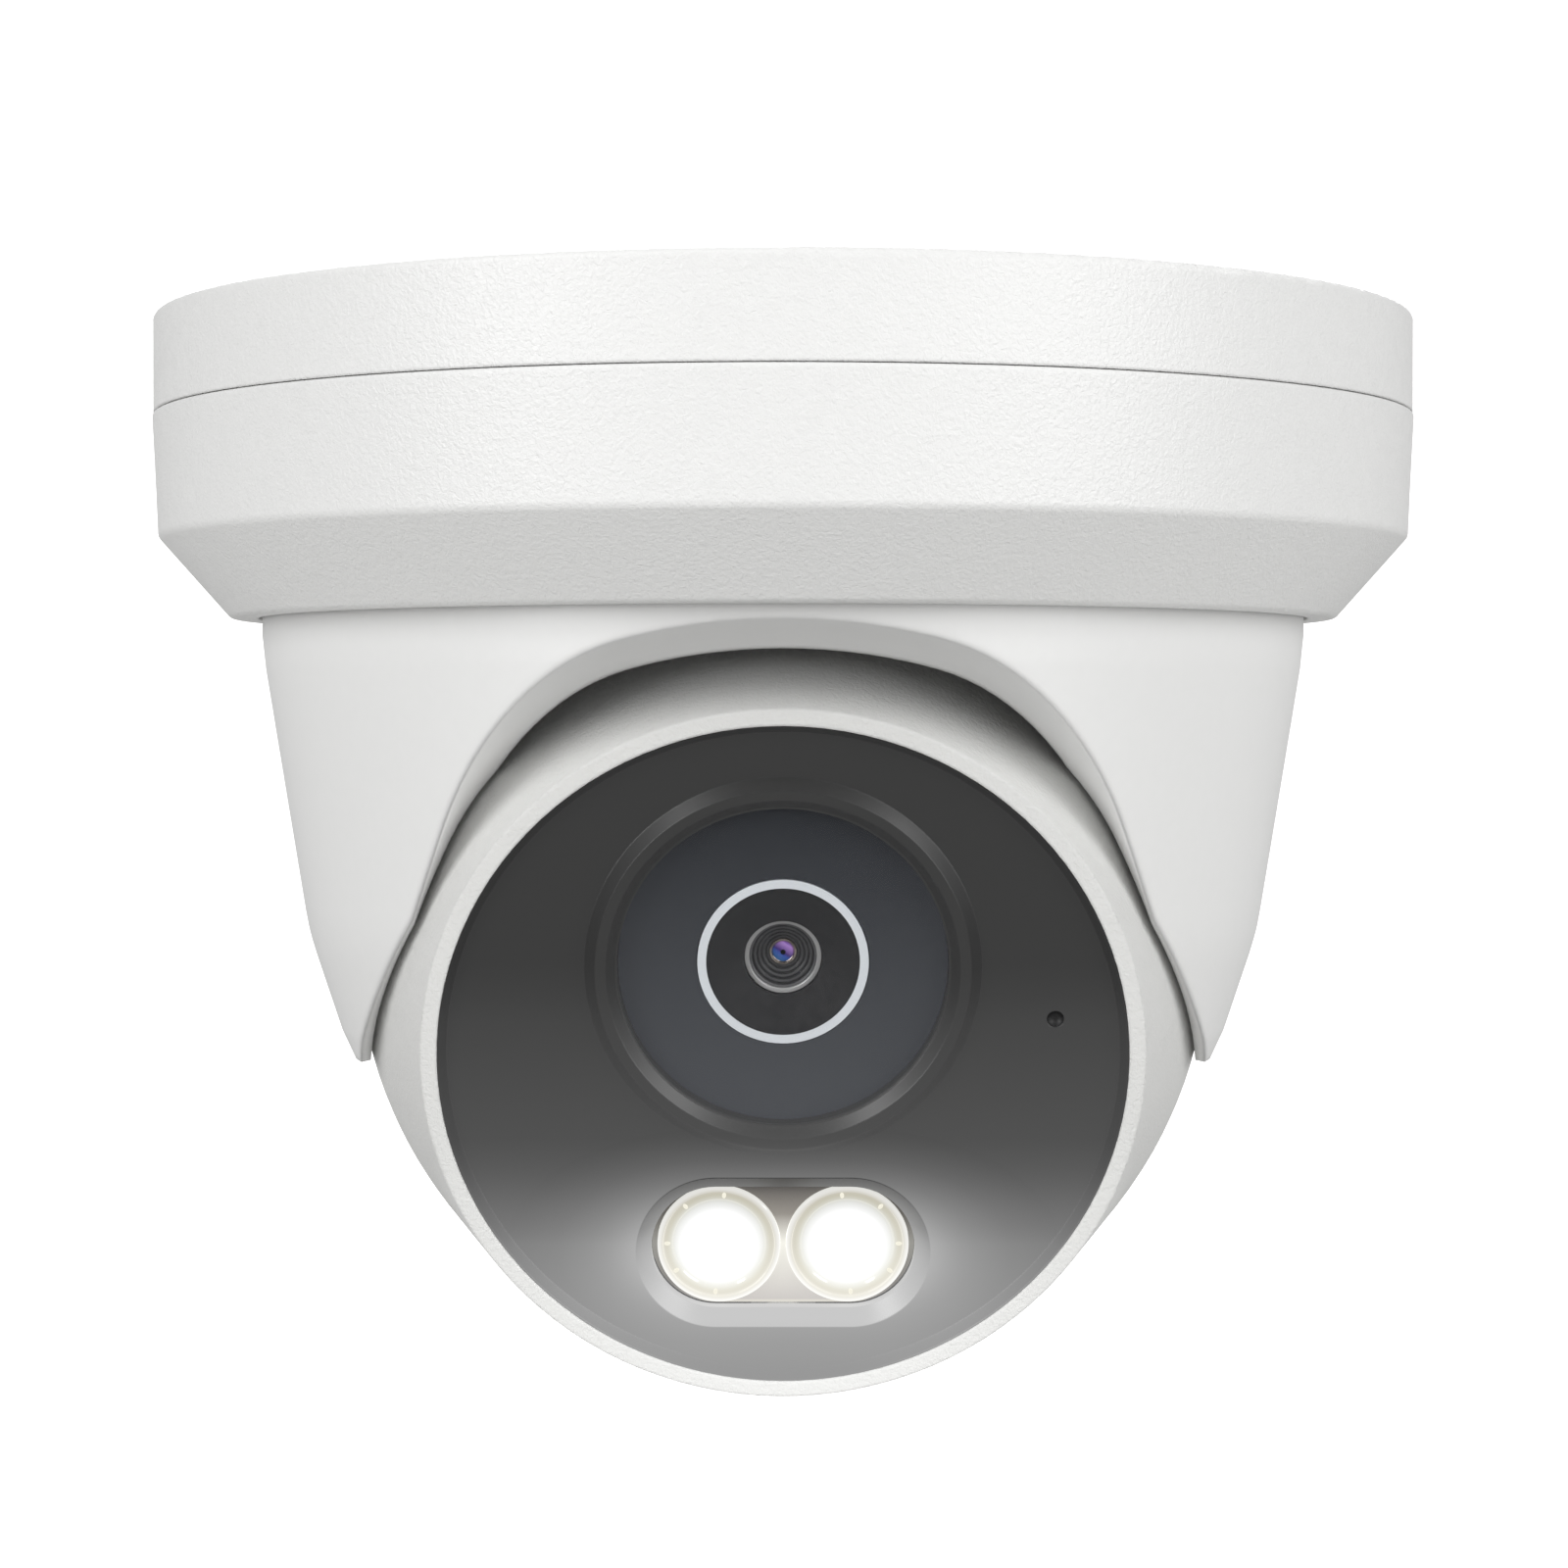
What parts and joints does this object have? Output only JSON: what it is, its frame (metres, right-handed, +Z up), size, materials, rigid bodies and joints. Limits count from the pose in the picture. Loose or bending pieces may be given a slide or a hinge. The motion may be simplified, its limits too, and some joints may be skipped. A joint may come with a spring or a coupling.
{
  "type": "dome security camera",
  "caption": "Ceiling-mounted turret security camera: round twist-lock base, arched panning shroud, and a tilting, rolling ball with a dark lens face and lamps.",
  "frame": {"origin": "centre of the screw circle on the ceiling face", "axes": "+Z up into the ceiling, -Y the way the camera looks at rest, +X to the right as seen from in front"},
  "size_m": [0.1102, 0.1102, 0.0918],
  "materials": {
    "coated_white": "fine textured powder coat",
    "shroud_white": "satin moulded",
    "foam_black": "closed-cell foam",
    "rubber_black": "matte",
    "washer_white": "smooth",
    "steel": "plated",
    "cover_dark": "gloss",
    "window_glass": "coated clear",
    "baffle_blue_grey": "fine matte",
    "barrel_black": "matte",
    "ring_silver": "turned",
    "lens_glass": "coated",
    "chip_black": "moulded epoxy",
    "board_green": "solder mask",
    "board_white": "white solder mask",
    "header_white": "moulded nylon",
    "aluminium": "milled",
    "brass": "turned",
    "led_yellow": "phosphor",
    "holder_dark": "moulded",
    "led_clear": "clear acrylic",
    "mic_steel": "plated"
  },
  "bodies": {
    "mount": {"mounting_base": "coated_white", "ceiling_gasket": "foam_black", "cable_grommet": "rubber_black", "pan_washer": "washer_white"},
    "trim_ring": {"trim_ring": "coated_white", "ring_washer": "washer_white", "lock_screw": "steel"},
    "shroud": {"shroud": "shroud_white", "tilt_pins": "steel"},
    "yoke": {"tilt_yoke": "steel", "roll_washer": "washer_white"},
    "ball": {"ball_front_shell": "coated_white", "ball_rear_shell": "coated_white", "retaining_ring": "steel", "shell_seal": "rubber_black", "shell_screws": "steel", "front_cover": "cover_dark", "cover_seal": "rubber_black", "lens_window": "window_glass", "lens_baffle": "baffle_blue_grey", "lens_barrel": "barrel_black", "lens_trim_ring": "ring_silver", "front_lens": "lens_glass", "inner_lenses": "lens_glass", "lens_holder": "barrel_black", "image_sensor": "chip_black", "sensor_board": "board_green", "board_link": "chip_black", "main_board": "board_green", "processor": "chip_black", "memory_chips": "chip_black", "cable_header": "header_white", "heat_sink": "aluminium", "inner_bracket": "aluminium", "bracket_screws": "steel", "board_standoffs": "brass", "board_screws": "steel", "led_block": "aluminium", "led_board": "board_white", "led_chips": "led_yellow", "led_holder": "holder_dark", "led_lenses": "led_clear", "microphone": "mic_steel", "mic_seal": "rubber_black"}
  },
  "joints": [
    {"name": "trim_ring_twist", "type": "hinge", "parent": "mount", "child": "trim_ring", "pos_m": [0, 0, -0.015], "axis": [0, 0, 1], "range_deg": [0, 20]},
    {"name": "pan", "type": "hinge", "parent": "mount", "child": "shroud", "pos_m": [0, 0, -0.022], "axis": [0, 0, 1], "range_deg": [-180, 180]},
    {"name": "tilt", "type": "hinge", "parent": "shroud", "child": "yoke", "pos_m": [0, 0, -0.05433], "axis": [1, 0, 0], "range_deg": [0, 75]},
    {"name": "roll", "type": "hinge", "parent": "yoke", "child": "ball", "pos_m": [0, 0, -0.05433], "axis": [0, -0.9683, -0.2497], "range_deg": [-180, 180]}
  ]
}
